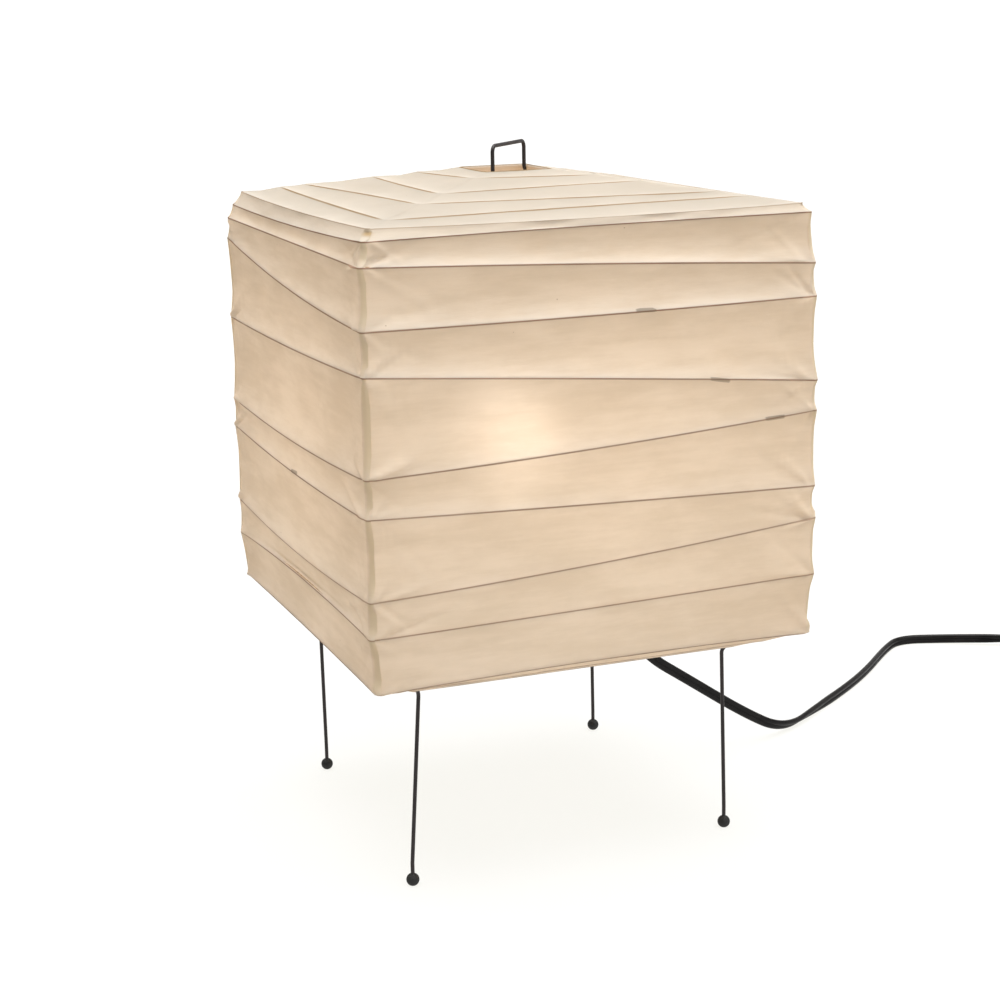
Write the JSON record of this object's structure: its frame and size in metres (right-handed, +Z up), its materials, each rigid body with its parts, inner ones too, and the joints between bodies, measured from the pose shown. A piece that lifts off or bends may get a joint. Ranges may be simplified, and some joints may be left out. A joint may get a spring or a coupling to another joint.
{
  "type": "paper lantern table lamp",
  "caption": "Square white paper lantern table lamp: low hipped top, uneven bamboo ribs, wire carrying loop and slim wire legs, with a globe bulb and a flat cord with in-line switch and plug.",
  "frame": {"origin": "on the table, under the middle of the shade", "axes": "+Z up along the lamp's axis, -Y out of the front of the shade, +X to its right, where the cord leaves"},
  "size_m": [0.7677, 0.3257, 0.43],
  "materials": {
    "washi_paper": "matte fibrous, lit from inside",
    "bamboo": "split and dried",
    "black_wire": "satin",
    "foot_rubber": "matte",
    "zinc_steel": "zinc plated",
    "holder_plastic": "moulded",
    "brass": "bright",
    "solder": "dull",
    "black_glass": "gloss",
    "aluminium": "rolled",
    "opal_glass": "opal, lit",
    "cord_plastic": "soft satin",
    "switch_plastic": "moulded"
  },
  "bodies": {
    "lamp": {"bottom_rim": "black_wire", "centre_contact": "brass", "cord_bushing": "foot_rubber", "cord_coil": "cord_plastic", "cord_lead": "cord_plastic", "cord_tie": "cord_plastic", "feet": "foot_rubber", "hoop_belly_1": "bamboo", "hoop_roof_1": "bamboo", "hoop_roof_2": "bamboo", "hoop_roof_3": "bamboo", "hoop_roof_4": "bamboo", "hoop_roof_5": "bamboo", "hoop_side_1": "bamboo", "hoop_side_2": "bamboo", "hoop_side_3": "bamboo", "hoop_side_4": "bamboo", "hoop_side_5": "bamboo", "hoop_side_6": "bamboo", "hoop_side_7": "bamboo", "hoop_side_8": "bamboo", "hoop_side_9": "bamboo", "hoop_splints": "bamboo", "hub_plate": "zinc_steel", "leg_wire_back_left": "black_wire", "leg_wire_back_right": "black_wire", "leg_wire_front_left": "black_wire", "leg_wire_front_right": "black_wire", "locknut": "zinc_steel", "paper_belly_back": "washi_paper", "paper_belly_front": "washi_paper", "paper_belly_left": "washi_paper", "paper_belly_right": "washi_paper", "paper_roof_back": "washi_paper", "paper_roof_front": "washi_paper", "paper_roof_left": "washi_paper", "paper_roof_right": "washi_paper", "paper_side_back": "washi_paper", "paper_side_front": "washi_paper", "paper_side_left": "washi_paper", "paper_side_right": "washi_paper", "plug_blades": "brass", "plug_body": "cord_plastic", "screw_shell": "brass", "socket_body": "holder_plastic", "socket_cap": "holder_plastic", "stretcher_wire": "black_wire", "switch_lower_shell": "switch_plastic", "switch_screw": "zinc_steel", "switch_upper_shell": "switch_plastic", "threaded_nipple": "zinc_steel", "top_rim": "black_wire"},
    "bulb": {"bulb_contact": "solder", "bulb_insulator": "black_glass", "bulb_screw_cap": "aluminium", "bulb_globe": "opal_glass"},
    "thumbwheel": {"switch_wheel": "switch_plastic"}
  },
  "joints": [
    {"name": "bulb_unscrew", "type": "slide", "parent": "lamp", "child": "bulb", "axis": [0, 0, 1], "range_m": [0, 0.026]},
    {"name": "switch_wheel_turn", "type": "hinge", "parent": "lamp", "child": "thumbwheel", "pos_m": [0.53552, 0.12752, 0.006], "axis": [0, 0, 1], "continuous": true}
  ]
}
